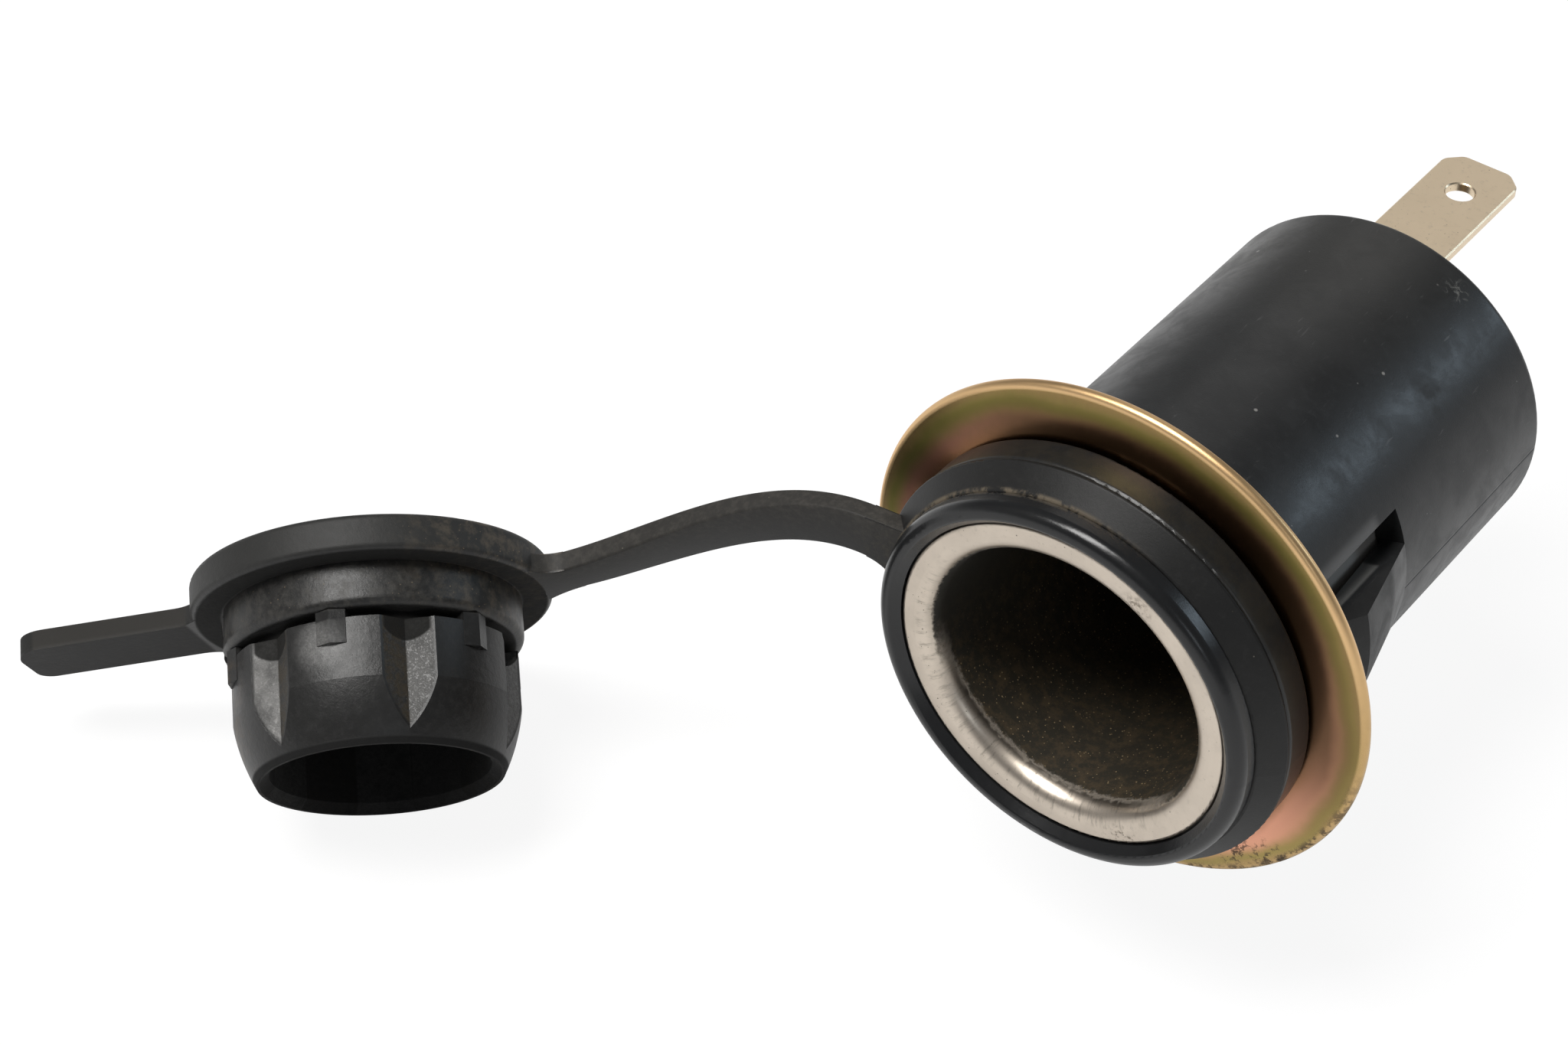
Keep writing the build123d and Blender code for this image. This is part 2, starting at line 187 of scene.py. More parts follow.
class SocketSizes(bpy.types.PropertyGroup):
    """Sizes of the surfaces that the dresser adds."""

    strap_width: FloatProperty(
        name="Strap Width",
        description="Width of the rubber strap in millimetres",
        default=3.75,
        min=1.0,
    )
    strap_thick: FloatProperty(
        name="Strap Thickness",
        description="Thickness of the rubber strap in millimetres",
        default=1.5,
        min=0.3,
    )
    strap_ring_flare: FloatProperty(
        name="Ring Flare",
        description="Widening of the strap at its ring in millimetres",
        default=0.6,
        min=0.0,
    )
    strap_cap_flare: FloatProperty(
        name="Cap Flare",
        description="Widening of the strap at its cap in millimetres",
        default=1.4,
        min=0.0,
    )
    strap_edge: FloatProperty(
        name="Strap Edge",
        description="Rounding of the strap's edges in millimetres",
        default=0.22,
        min=0.0,
    )
    strap_skin: FloatProperty(
        name="Strap Skin",
        description="How far the strap's skin stands over its core in millimetres",
        default=0.03,
    )
    strap_angle: FloatProperty(
        name="Strap Angle",
        description="Angle above level at which the strap leaves its ring",
        default=12.2,
    )
    strap_root_r: FloatProperty(
        name="Strap Root Radius",
        description="Radius at which the strap starts in millimetres",
        default=14.3,
    )
    strap_root_y: FloatProperty(
        name="Strap Root Station",
        description="Station of the strap along the axis in millimetres",
        default=-5.59,
    )
    strap_cap_s: FloatProperty(
        name="Strap Cap Level",
        description="Depth of the strap under the cap's face in millimetres",
        default=1.95,
    )
    strap_cap_r: FloatProperty(
        name="Strap Cap Radius",
        description="Radius in the cap at which the strap ends in millimetres",
        default=12.8,
    )
    strap_ring_reach: FloatProperty(
        name="Ring Reach",
        description="How long the strap keeps its way out of the ring in millimetres",
        default=10.95,
    )
    strap_cap_reach: FloatProperty(
        name="Cap Reach",
        description="How long the strap keeps its way into the cap in millimetres",
        default=9.1,
    )
    bend_reach: FloatProperty(
        name="Bend Reach",
        description="Length over which the strap turns at a bend in millimetres",
        default=6.0,
    )
    washer_inner_r: FloatProperty(
        name="Washer Hole Radius",
        description="Radius of the washer's hole in millimetres",
        default=14.1,
        min=1.0,
    )
    washer_thick: FloatProperty(
        name="Washer Thickness",
        description="Thickness of the washer in millimetres",
        default=0.9,
        min=0.1,
    )
    washer_round: FloatProperty(
        name="Washer Round",
        description="Rounding of the washer's rim in millimetres",
        default=0.43,
        min=0.0,
    )


class SocketFinish(bpy.types.PropertyGroup):
    """Colours of the finishes and strength of the light."""

    plastic: FloatVectorProperty(
        name="Housing",
        description="Colour of the moulded housing",
        subtype="COLOR",
        size=3,
        default=(0.0125, 0.013, 0.0135),
    )
    rubber: FloatVectorProperty(
        name="Rubber",
        description="Colour of the clean rubber",
        subtype="COLOR",
        size=3,
        default=(0.0135, 0.0133, 0.0130),
    )
    dust: FloatVectorProperty(
        name="Dust",
        description="Colour of the dust on the rubber",
        subtype="COLOR",
        size=3,
        default=(0.13, 0.105, 0.075),
    )
    nickel: FloatVectorProperty(
        name="Nickel",
        description="Colour of the plated lip",
        subtype="COLOR",
        size=3,
        default=(0.66, 0.58, 0.49),
    )
    blade: FloatVectorProperty(
        name="Blade",
        description="Colour of the plated blade",
        subtype="COLOR",
        size=3,
        default=(0.80, 0.66, 0.48),
    )
    soot: FloatVectorProperty(
        name="Well",
        description="Colour of the dirty inside of the well",
        subtype="COLOR",
        size=3,
        default=(0.026, 0.022, 0.013),
    )
    gold: FloatVectorProperty(
        name="Plate Gold",
        description="Main colour of the yellow plate",
        subtype="COLOR",
        size=3,
        default=(0.46, 0.31, 0.13),
    )
    rose: FloatVectorProperty(
        name="Plate Rose",
        description="Pink tint in the yellow plate",
        subtype="COLOR",
        size=3,
        default=(0.46, 0.22, 0.145),
    )
    leaf: FloatVectorProperty(
        name="Plate Green",
        description="Green tint in the yellow plate",
        subtype="COLOR",
        size=3,
        default=(0.29, 0.255, 0.065),
    )
    brown: FloatVectorProperty(
        name="Plate Brown",
        description="Dark tint of the plate next to the flange",
        subtype="COLOR",
        size=3,
        default=(0.46, 0.22, 0.10),
    )
    # Colour of the painted shade and of the painted reflection of the dark ring on the plate
    painted_plate_shade: FloatVectorProperty(
        name="Plate Grime",
        description="Dark film on the plate round the flange",
        subtype="COLOR",
        size=3,
        default=(0.085, 0.050, 0.024),
    )
    # Colour of the painted highlight on the plate's rim
    rim: FloatVectorProperty(
        name="Plate Rim",
        description="Bright tint of the plate on its rim",
        subtype="COLOR",
        size=3,
        default=(0.84, 0.56, 0.29),
    )
    light: FloatProperty(
        name="Light",
        description="Strength of the lamps",
        default=1.0,
        min=0.0,
    )
    lens: FloatProperty(
        name="Lens",
        description="Focal length of the camera in millimetres",
        default=74.55,
        min=1.0,
    )
    floor_gap: FloatProperty(
        name="Floor Gap",
        description="Room between the object and the floor in millimetres",
        default=0.2,
    )
    rounds: IntProperty(
        name="Section Points",
        description="Points round the strap's section",
        default=40,
        min=8,
    )


class Wire:
    """A socket of a shader tree that can be used in sums: each expression adds the Math nodes it needs."""

    def __init__(self, tree, socket=None):
        self.tree = tree
        self.socket = socket

    def add(self, kind, settings=None, inputs=None, out=0):
        """Add a node of a kind, with its settings first and then the values or wires of its sockets."""
        node = self.tree.nodes.new(kind)
        for key, value in (settings or {}).items():
            setattr(node, key, value)
        for key, value in (inputs or {}).items():
            socket = node.inputs[key]
            if isinstance(value, Wire):
                self.tree.links.new(value.socket, socket)
            elif socket.type == "RGBA" and len(value) == 3:
                socket.default_value = (*value, 1.0)
            else:
                socket.default_value = value
        return Wire(self.tree, node.outputs[out] if len(node.outputs) else None)

    def math(self, operation, *values, clamp=False):
        """Math node with an operation on values or wires."""
        settings = {"operation": operation, "use_clamp": clamp}
        return self.add("ShaderNodeMath", settings, dict(enumerate(values)))

    def __add__(self, other):
        return self.math("ADD", self, other)

    __radd__ = __add__

    def __sub__(self, other):
        return self.math("SUBTRACT", self, other)

    def __rsub__(self, other):
        return self.math("SUBTRACT", other, self)

    def __mul__(self, other):
        return self.math("MULTIPLY", self, other)

    __rmul__ = __mul__

    def __truediv__(self, other):
        return self.math("DIVIDE", self, other)

    def above(self, low, high):
        """0 below low and 1 above high, smooth between; with low over high it runs the other way."""
        return self.add(
            "ShaderNodeMapRange",
            {"interpolation_type": "SMOOTHSTEP"},
            {"Value": self, "From Min": low, "From Max": high},
        )

    def most(self, other):
        """The larger of two values."""
        return self.math("MAXIMUM", self, other)

    def size(self):
        """The value without its sign."""
        return self.math("ABSOLUTE", self)

    def limit(self):
        """The value kept between 0 and 1."""
        return self.math("ADD", self, 0.0, clamp=True)

    def blend(self, low, high):
        """Mix two colours or colour wires by this value."""
        return self.add("ShaderNodeMix", {"data_type": "RGBA"}, {0: self, 6: low, 7: high}, out=2)


class Finish:
    """A material in the making: millimetre coordinates, patterns and the closing shader."""

    def __init__(self, name):
        material = bpy.data.materials.new(name)
        material.use_nodes = True
        self.material = material
        self.tree = material.node_tree
        self.tree.nodes.clear()
        self.start = Wire(self.tree)
        place = self.start.add("ShaderNodeTexCoord", out="Object")
        scale = {0: place, "Scale": 1.0 / MM}
        self.point = self.start.add("ShaderNodeVectorMath", {"operation": "SCALE"}, scale)
        split = self.start.add("ShaderNodeSeparateXYZ", None, {0: self.point})
        self.x, self.y, self.z = (Wire(self.tree, socket) for socket in split.socket.node.outputs)

    def length(self, a, b):
        """Length of the two legs of a right angle."""
        square = a * a + b * b
        return square.math("SQRT", square)

    def radius(self):
        """Distance from the socket's axis."""
        return self.length(self.x, self.z)

    def vector(self, a, b, c):
        """Vector of three values, as the place of a pattern."""
        return self.start.add("ShaderNodeCombineXYZ", None, {0: a, 1: b, 2: c})

    def against(self, operation, vector):
        """Value of a vector operation between the point and a fixed vector."""
        inputs = {0: self.point, 1: tuple(float(v) for v in vector)}
        return self.start.add("ShaderNodeVectorMath", {"operation": operation}, inputs, "Value")

    def moved(self, place, offset):
        """The place of a pattern moved by an offset, so that two patterns of one kind differ."""
        return self.start.add("ShaderNodeMapping", None, {"Vector": place, "Location": offset})

    def toward(self, angle):
        """Cosine between the way out from the axis and an hour angle, 0 up and 90 to the right."""
        turn = np.radians(angle)
        return self.along((np.sin(turn), 0.0, np.cos(turn))) / self.radius()

    def along(self, way, start=(0.0, 0.0, 0.0)):
        """Distance from a start along a way."""
        return self.against("DOT_PRODUCT", way) - float(np.dot(way, start))

    def near(self, spot, inner, outer):
        """1 within an inner distance of a spot and 0 past an outer one."""
        return self.against("DISTANCE", spot).above(outer, inner)

    def noise(self, scale, detail=3.0, rough=0.55, warp=0.0, shift=0.0, place=None):
        """Cloudy pattern between 0 and 1 with features about 1/scale millimetres across."""
        place = place or self.point
        if shift:
            place = self.moved(place, (shift, shift * 0.7, -shift))
        return self.start.add(
            "ShaderNodeTexNoise",
            None,
            {"Vector": place, "Scale": scale, "Detail": detail, "Roughness": rough, "Distortion": warp},
        )

    def specks(self, scale, size, share, shift=0.0):
        """Scattered dots: cells of about 1/scale millimetres, of which a share holds a dot of a size."""
        place = self.moved(self.point, (shift, -shift, shift * 0.5))
        cells = {"Vector": place, "Scale": scale, "Randomness": 1.0}
        gap = self.start.add("ShaderNodeTexVoronoi", None, cells, "Distance")
        colour = Wire(self.tree, gap.socket.node.outputs["Color"])
        chance = self.start.add("ShaderNodeSeparateColor", None, {0: colour}, 0)
        return gap.above(size, size * 0.45) * chance.above(1.0 - share, 1.0 - share + 0.02)

    def close(self, colour, rough, metal, height, lift, strength, level=0.5):
        """Join colour, roughness, metal and a height, lifted by millimetres, into the closing shader."""
        relief = {"Height": height, "Distance": lift * MM, "Strength": strength}
        inputs = {
            "Base Color": colour,
            "Roughness": rough,
            "Metallic": metal,
            "Specular IOR Level": level,
            "Normal": self.start.add("ShaderNodeBump", None, relief),
        }
        shader = self.start.add("ShaderNodeBsdfPrincipled", None, inputs, "BSDF")
        self.start.add("ShaderNodeOutputMaterial", None, {"Surface": shader})
        return self.material


def scaled(colour, factor):
    """A colour made lighter or darker by a factor."""
    return tuple(factor * channel for channel in colour)


def dress(node, material):
    """Give a frame node its finish."""
    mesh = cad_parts[node].data
    mesh.materials.clear()
    mesh.materials.append(material)


def surface_mesh(name, points, close_round=True, caps=True, loop=False):
    """Mesh of a grid of points (stations, round, 3): each square of neighbours is a face.

    The ends are capped, left open, or with loop joined to each other.
    """
    stations, rounds, _ = points.shape
    index = np.arange(stations * rounds).reshape(stations, rounds)
    nxt = np.roll(index, -1, axis=1)
    ahead, nxt_ahead = np.roll(index, -1, axis=0), np.roll(nxt, -1, axis=0)
    quads = np.stack([index, nxt, nxt_ahead, ahead], axis=-1)
    if not loop:
        quads = quads[:-1]
    if not close_round:
        quads = quads[:, :-1]
    faces = quads.reshape(-1, 4).tolist()
    if caps:
        faces += [index[0][::-1].tolist(), index[-1].tolist()]
    mesh = bpy.data.meshes.new(name)
    mesh.from_pydata(points.reshape(-1, 3).tolist(), [], faces)
    mesh.polygons.foreach_set("use_smooth", np.ones(len(mesh.polygons), bool))
    ends = np.empty(2 * len(mesh.edges), int)
    mesh.edges.foreach_get("vertices", ends)
    rows = ends.reshape(-1, 2) // rounds
    rim = (rows[:, 0] == rows[:, 1]) & np.isin(rows[:, 0], (0, stations - 1))
    mesh.edges.foreach_set("use_edge_sharp", rim & caps)
    mesh.update()
    made = bpy.data.objects.new(name, mesh)
    bpy.context.scene.collection.objects.link(made)
    return made


def unit(v):
    """Vectors scaled to unit length."""
    return v / np.linalg.norm(v, axis=-1, keepdims=True)


class StrapRoute:
    """The strap's middle line: a cubic curve out of the ring along a radius and into the cap's disc."""

    def __init__(self, sizes):
        angle = np.radians(sizes.strap_angle)
        way = np.array([-np.cos(angle), 0.0, np.sin(angle)])
        self.ring_across = np.array([np.sin(angle), 0.0, np.cos(angle)])
        start = way * sizes.strap_root_r + np.array([0.0, sizes.strap_root_y, 0.0])
        end = CAP_PLACE + CAP_FACING * sizes.strap_cap_s + CAP_STRAP_WAY * sizes.strap_cap_r
        past_ring = start + way * sizes.strap_ring_reach
        before_cap = end + CAP_STRAP_WAY * sizes.strap_cap_reach
        self.knots = np.array([start, past_ring, before_cap, end])
        fine = np.linspace(0.0, 1.0, CURVE_STATIONS)
        run = np.linalg.norm(np.diff(self.curve(fine), axis=0), axis=1)
        self.fine = fine
        self.length_at = np.concatenate([[0.0], np.cumsum(run)])
        self.length = self.length_at[-1]

    def curve(self, t):
        """Point at a curve value: the four knots weighted by the cubic Bernstein terms."""
        t = np.asarray(t, float)[..., None]
        a, b, c, d = self.knots
        return (1 - t) ** 3 * a + 3 * t * (1 - t) ** 2 * b + 3 * t**2 * (1 - t) * c + t**3 * d

    def slope(self, t):
        """First derivative of the curve."""
        t = np.asarray(t, float)[..., None]
        a, b, c, d = self.knots
        return 3 * (1 - t) ** 2 * (b - a) + 6 * t * (1 - t) * (c - b) + 3 * t**2 * (d - c)

    def frames(self, shares):
        """Centres, run, across and thick directions at shares of the strap's length."""
        shares = np.asarray(shares, float)
        t = np.interp(shares * self.length, self.length_at, self.fine)
        run = unit(self.slope(t))
        across = (1 - shares)[:, None] * self.ring_across + shares[:, None] * CAP_ACROSS
        across = unit(across - np.sum(across * run, axis=1, keepdims=True) * run)
        return self.curve(t), run, across, np.cross(run, across)


def rounded_bar(half_width, half_thick, edge, count):
    """Outline of a bar's section with its corners rounded by arcs.

    The direction angle runs round once, the corner centre is chosen by its quadrant, and an arc of the
    edge's radius is added to it, so that straight sides come from the jumps between corner centres.
    """
    angle = np.linspace(0.0, 2 * np.pi, count, endpoint=False) + np.pi / count
    corner_x = np.sign(np.cos(angle))
    corner_y = np.sign(np.sin(angle))
    return (
        corner_x[None, :] * (half_width - edge)[:, None] + edge * np.cos(angle)[None, :],
        corner_y[None, :] * (half_thick - edge)[:, None] + edge * np.sin(angle)[None, :],
    )


def washer_outline(sizes):
    """Half section of the dished washer as (radius, station) points, once round.

    Two slanted lines run from the hole to the rim, and the rim's corners are arcs that touch both.
    """
    low, high = (np.array(corner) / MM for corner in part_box("mounting_washer"))
    inner, outer, thick, edge = sizes.washer_inner_r, high[0], sizes.washer_thick, sizes.washer_round
    slope = (high[1] - thick - low[1]) / (outer - inner)
    lean = np.arctan(slope)
    reach = edge / np.cos(lean)
    flat = np.linspace(inner, outer - edge, FACE_POINTS)
    front = np.stack([flat, low[1] + (flat - inner) * slope], axis=1)
    centre_front = front[-1] + (0.0, reach)
    centre_back = front[-1] + (0.0, thick - reach)
    turn = np.linspace(0.0, 1.0, ARC_POINTS)[:, None]
    front_angle = (lean - np.pi / 2) * (1 - turn)
    back_angle = (lean + np.pi / 2) * turn
    arc_front = centre_front + edge * np.hstack([np.cos(front_angle), np.sin(front_angle)])
    arc_back = centre_back + edge * np.hstack([np.cos(back_angle), np.sin(back_angle)])
    return np.vstack([front[:-1], arc_front, arc_back, front[::-1] + (0.0, thick)])


class SOCKET_OT_plastic(bpy.types.Operator):
    """Finish the moulded housing: satin charcoal with specks, scuffs and its mould line, a painted sheen at
    the rear top and painted light along and inside the finger slot.
    """

    bl_idname = "socket.plastic"
    bl_label = "Dress Housing"

    def execute(self, context):
        look = context.scene.socket_finish
        f = Finish("housing_satin_black")

        # Patterns, places and marks
        cloud = f.noise(0.16, 4.0, 0.6)
        fine = f.noise(1.6, 3.0, 0.6, shift=7.0)
        grain = f.noise(9.0, 2.0, 0.7, shift=3.0)
        radius = f.radius()
        front = f.y.above(-6.2, -6.5)
        flange = f.y.above(-4.6, -4.3) * f.y.above(-1.5, -1.7) * radius.above(15.4, 15.9)
        sleeve = f.y.above(-1.6, -1.2)
        scuff = f.noise(1.3, 5.0, 0.75, warp=1.5, shift=21.0).above(0.52, 0.62)
        rear_edge = f.near((6.2, 32.8, 12.2), 0.3, 1.5)
        left_edge = f.near((-8.8, 29.5, 10.5), 0.5, 4.5)
        wear = scuff * rear_edge.most(left_edge * 0.7)
        specks = f.specks(0.40, 0.075, 0.45).most(f.specks(1.0, 0.075, 0.14, 13.0) * 0.6) * sleeve
        lengthwise = f.vector(f.x * 3.5, f.y * 0.5, f.z * 3.5)
        hair = f.noise(1.0, 3.0, 0.6, warp=0.6, shift=15.0, place=lengthwise)
        scratch = hair.above(0.66, 0.72) * cloud.above(0.4, 0.6) * sleeve
        arc = f.x.math("ARCTAN2", f.z, f.x) * SLEEVE_R
        slot = arc.above(6.95, 7.1) * arc.above(8.3, 7.3) * f.x.above(0.0, 1.0)
        slot = slot * f.y.above(0.4, 0.6) * f.y.above(13.6, 12.6)

        # Colour, from the clean plastic up
        colour = (cloud.above(0.3, 0.75) * 0.5).blend(look.plastic, scaled(look.plastic, 1.7))
        colour = (fine.above(0.52, 0.72) * 0.25).blend(colour, scaled(look.plastic, 2.2))
        # Painted sheen: the rear top left of the sleeve is painted lighter, as if lit from behind
        rear = f.y.above(14.0, 32.0) * f.toward(-30.0).above(0.2, 0.9)
        colour = (rear * 0.45).blend(colour, PAINTED_REAR_SHEEN)
        colour = (wear * 0.7).blend(colour, SCUFF_GREY)
        colour = (scratch * 0.4).blend(colour, SCRATCH_GREY)
        # Painted highlight: a pale strip along the edge of the finger slot
        colour = (slot * 0.6).blend(colour, PAINTED_SLOT_EDGE_LIGHT)
        # Painted light: the walls deep in the finger slot are painted pale grey, standing in for light that
        # reaches them
        cavity = radius.above(13.5, 13.2) * f.x.above(6.0, 7.0)
        cavity = cavity * f.y.above(0.5, 0.9) * f.y.above(12.6, 12.2)
        colour = (cavity * 0.85).blend(colour, PAINTED_SLOT_LIGHT)
        finger = radius.above(13.75, 13.95) * f.y.above(0.2, 0.4) * f.y.above(13.0, 12.0)
        colour = (finger * 0.6).blend(colour, FINGER_BLACK)
        colour = (specks * 0.8).blend(colour, SPECK_GREY)
        settled = flange * f.z.above(-2.0, 9.0) * f.noise(0.7, 4.0, 0.7, shift=9.0).above(0.3, 0.6)
        colour = (settled * 0.3).blend(colour, SETTLED_DUST)
        crevice = f.y.above(-6.72, -6.5) * f.y.above(-6.2, -6.35) * radius.above(14.4, 14.6)
        crevice = crevice * f.toward(-45.0).above(0.35, 0.85)
        crevice = crevice * f.noise(0.9, 4.0, 0.7, shift=2.0).above(0.36, 0.56)
        colour = (crevice * 0.7).blend(colour, CREVICE_DUST)
        colour = (front * 0.6).blend(colour, BEZEL_BLACK)

        # Roughness and relief, with the mould line
        smear = f.near((9.9, 24.0, 9.6), 0.5, 3.0) * f.noise(0.6, 3.0, 0.6, shift=5.0).above(0.42, 0.6)
        blotch = f.noise(0.33, 5.0, 0.65, warp=0.5, shift=19.0).above(0.35, 0.7) * sleeve
        rough = 0.29 + blotch * 0.12 + fine * 0.08 + (wear * 0.2).most(smear * 0.12)
        rough = rough + crevice * 0.3 + finger * 0.15 - front * 0.10
        line = (f.z - 0.4).size().above(0.16, 0.05) * f.y.above(15.2, 15.6) * radius.above(13.2, 13.5)
        height = grain * 0.5 + fine * 0.4 - line * 8.0
        colour = (line * 0.75).blend(colour, SEAM_BLACK)
        dress("housing", f.close(colour, rough, 0.0, height, lift=0.018, strength=0.7, level=0.45))
        return {"FINISHED"}


class SOCKET_OT_well(bpy.types.Operator):
    """Finish the drawn shell: pitted warm nickel on its lip and blade, dark dusty brown in its well,
    painted shade on the lip's inner curl and pale painted light on its outside behind the finger slot.
    """

    bl_idname = "socket.well"
    bl_label = "Dress Shell"

    def execute(self, context):
        look = context.scene.socket_finish
        f = Finish("pitted_nickel")

        # Patterns, places and marks
        radius = f.radius()
        cloud = f.noise(0.35, 4.0, 0.6)
        fine = f.noise(2.2, 4.0, 0.65, shift=9.0)
        arc = f.x.math("ARCTAN2", f.x, f.z) * LIP_R
        streak = f.noise(2.6, 4.0, 0.75, place=f.vector(arc, radius * 0.22, f.y * 0.22))
        left = f.toward(-110.0).above(0.55, 0.95)
        low_left = (f.toward(-168.0) + (fine - 0.5) * 0.3).above(0.25, 0.75)
        pits = f.specks(2.4, 0.16, 0.12).most(f.specks(4.5, 0.2, 0.12, 5.0))
        pits = (pits * (f.noise(0.5, 2.0, 0.5, shift=17.0).above(0.45, 0.62) + left)).limit()
        upper = f.noise(2.4, 4.0, 0.7, shift=2.0).above(0.46, 0.62)
        lower = f.noise(2.8, 4.0, 0.7, shift=4.0).above(0.5, 0.66)
        stain = f.near((5.2, -6.9, 10.3), 0.2, 1.8) * upper
        stain = stain.most(f.near((6.4, -7.4, -11.2), 0.2, 2.2) * lower)
        curl = radius.above(12.1, 11.6) * f.y.above(-4.0, -5.5)
        scratch = curl * low_left.most(left) * streak.above(0.48, 0.72)
        ragged = radius + (fine - 0.5) * 0.45
        deep = (f.y + (fine - 0.5) * 1.2).above(-6.2, -5.5)
        inside = ragged.above(10.88, 10.70) * (1.0 - low_left) + deep * low_left
        inside = inside.most(f.y.above(-5.0, -4.0)) * radius.above(11.0, 10.9) * f.y.above(31.0, 30.0)
        outer = radius.above(11.05, 11.2) * f.y.above(-3.0, -2.0) * f.y.above(30.0, 29.0)
        depth = f.y.above(-6.0, 9.0)
        low = f.z.above(2.0, -9.0)
        dusty = f.noise(0.5, 5.0, 0.7, shift=31.0) * low
        grit = f.specks(2.0, 0.16, 0.55, 3.0).most(f.specks(3.6, 0.20, 0.45, 9.0)) * f.z.above(0.0, -8.0)
        blade = f.y.above(30.0, 31.0)

        # Colour of the plate, then of the dirt in the well
        clean = (cloud.above(0.35, 0.7) * 0.5).blend(look.nickel, scaled(look.nickel, 0.84))
        clean = blade.blend(clean, look.blade)
        clean = (fine.above(0.55, 0.75) * 0.30).blend(clean, scaled(look.nickel, 0.62))
        clean = (scratch * 0.5).blend(clean, NICKEL_SCRATCH)
        # Painted shade: the lip's curl is darkened where it would mirror dark surroundings, but not at the
        # lower left
        painted_curl_shade = curl * (1.0 - low_left) * ragged.above(11.3, 10.8)
        clean = (painted_curl_shade * 0.3).blend(clean, PAINTED_CURL_SHADE)
        # Painted light: the shell's outside, seen through the finger slot, is painted pale and dull so that
        # the slot is not black
        clean = outer.blend(clean, PAINTED_SHELL_LIGHT)
        clean = (pits * 0.8).blend(clean, PIT_BROWN)
        clean = (stain * 0.85).blend(clean, STAIN_BROWN)
        dirt = (depth * 0.85).blend(look.soot, scaled(look.soot, 0.75))
        dirt = (f.y.above(4.0, -4.0) * 0.6).blend(dirt, MOUTH_BLACK)
        rusty = f.noise(0.9, 6.0, 0.82, shift=41.0).above(0.44, 0.62) * (low * 1.3).limit()
        dirt = (rusty * 0.75).blend(dirt, RUST_FILM)
        dirt = (dusty.above(0.25, 0.55) * 0.3).blend(dirt, BROWN_DUST)
        dirt = (grit * 0.7).blend(dirt, RUST_GRIT)
        colour = inside.blend(clean, dirt)

        # Metal, roughness and relief
        metal = (1.0 - inside.most(outer)) * (1.0 - (pits * 0.6).most(stain * 0.7))
        rough = 0.25 + cloud * 0.10 + fine * 0.10 + pits * 0.3 + stain * 0.3 + inside.most(outer) * 0.35
        height = fine * 0.5 - pits * 2.0 - scratch * 0.3 + inside * dusty * 2.0
        dress("socket_shell", f.close(colour, rough, metal, height, lift=0.012, strength=0.5))
        return {"FINISHED"}


